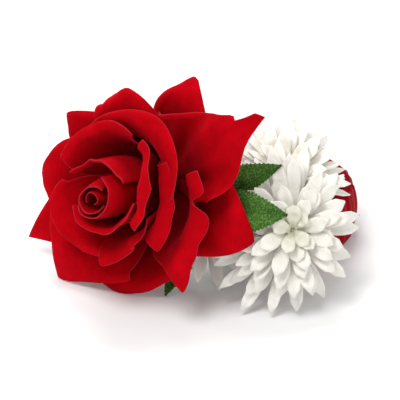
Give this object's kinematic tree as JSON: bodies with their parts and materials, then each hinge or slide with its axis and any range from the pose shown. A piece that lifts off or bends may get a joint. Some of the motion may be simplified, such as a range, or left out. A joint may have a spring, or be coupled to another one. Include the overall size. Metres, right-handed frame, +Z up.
{
  "type": "wrist corsage",
  "caption": "Wrist corsage: an open velvet rose, white pompon mums and serrated leaves bound to a satin-covered elastic wrist band.",
  "frame": {"origin": "middle of the base of the whole corsage, on the surface it stands on", "axes": "+Z up, along the axis of the wrist band; -Y towards the side the flowers face; +X from the rose towards the mums"},
  "size_m": [0.141, 0.1086, 0.0912],
  "materials": {
    "rose_velvet": "velvet",
    "mum_cloth": "matt, lightly glazed",
    "leaf_cloth": "matt woven",
    "band_satin": "satin",
    "elastic": "matt woven",
    "felt": "felt",
    "floral_tape": "waxed crepe",
    "plate_plastic": "satin",
    "calyx_plastic": "moulded, satin",
    "core_foam": "foam"
  },
  "bodies": {
    "root": {"band_cover": "band_satin", "band_elastic": "elastic", "band_lining": "band_satin", "felt_pad": "felt", "leaf_lower": "leaf_cloth", "leaf_lower_stalk": "floral_tape", "leaf_under": "leaf_cloth", "leaf_under_stalk": "floral_tape", "leaf_upper": "leaf_cloth", "leaf_upper_stalk": "floral_tape", "mum_behind_calyx": "calyx_plastic", "mum_behind_petals_1": "mum_cloth", "mum_behind_petals_2": "mum_cloth", "mum_behind_petals_3": "mum_cloth", "mum_behind_petals_4": "mum_cloth", "mum_behind_stem": "floral_tape", "mum_front_calyx": "calyx_plastic", "mum_front_heart": "calyx_plastic", "mum_front_petals_1": "mum_cloth", "mum_front_petals_2": "mum_cloth", "mum_front_petals_3": "mum_cloth", "mum_front_petals_4": "mum_cloth", "mum_front_petals_5": "mum_cloth", "mum_front_stem": "floral_tape", "mum_top_calyx": "calyx_plastic", "mum_top_heart": "calyx_plastic", "mum_top_petals_1": "mum_cloth", "mum_top_petals_2": "mum_cloth", "mum_top_petals_3": "mum_cloth", "mum_top_petals_4": "mum_cloth", "mum_top_petals_5": "mum_cloth", "mum_top_stem": "floral_tape", "rose_back_1": "rose_velvet", "rose_back_2": "rose_velvet", "rose_back_3": "rose_velvet", "rose_back_4": "rose_velvet", "rose_back_5": "rose_velvet", "rose_bud_a": "rose_velvet", "rose_bud_b": "rose_velvet", "rose_bud_c": "rose_velvet", "rose_calyx": "calyx_plastic", "rose_core": "core_foam", "rose_inner_1": "rose_velvet", "rose_inner_2": "rose_velvet", "rose_inner_3": "rose_velvet", "rose_middle_1": "rose_velvet", "rose_middle_2": "rose_velvet", "rose_middle_3": "rose_velvet", "rose_middle_4": "rose_velvet", "rose_middle_5": "rose_velvet", "rose_outer_1": "rose_velvet", "rose_outer_2": "rose_velvet", "rose_outer_3": "rose_velvet", "rose_outer_4": "rose_velvet", "rose_outer_5": "rose_velvet", "rose_stem": "floral_tape", "stem_binding": "floral_tape", "wrist_plate": "plate_plastic"}
  },
  "joints": []
}
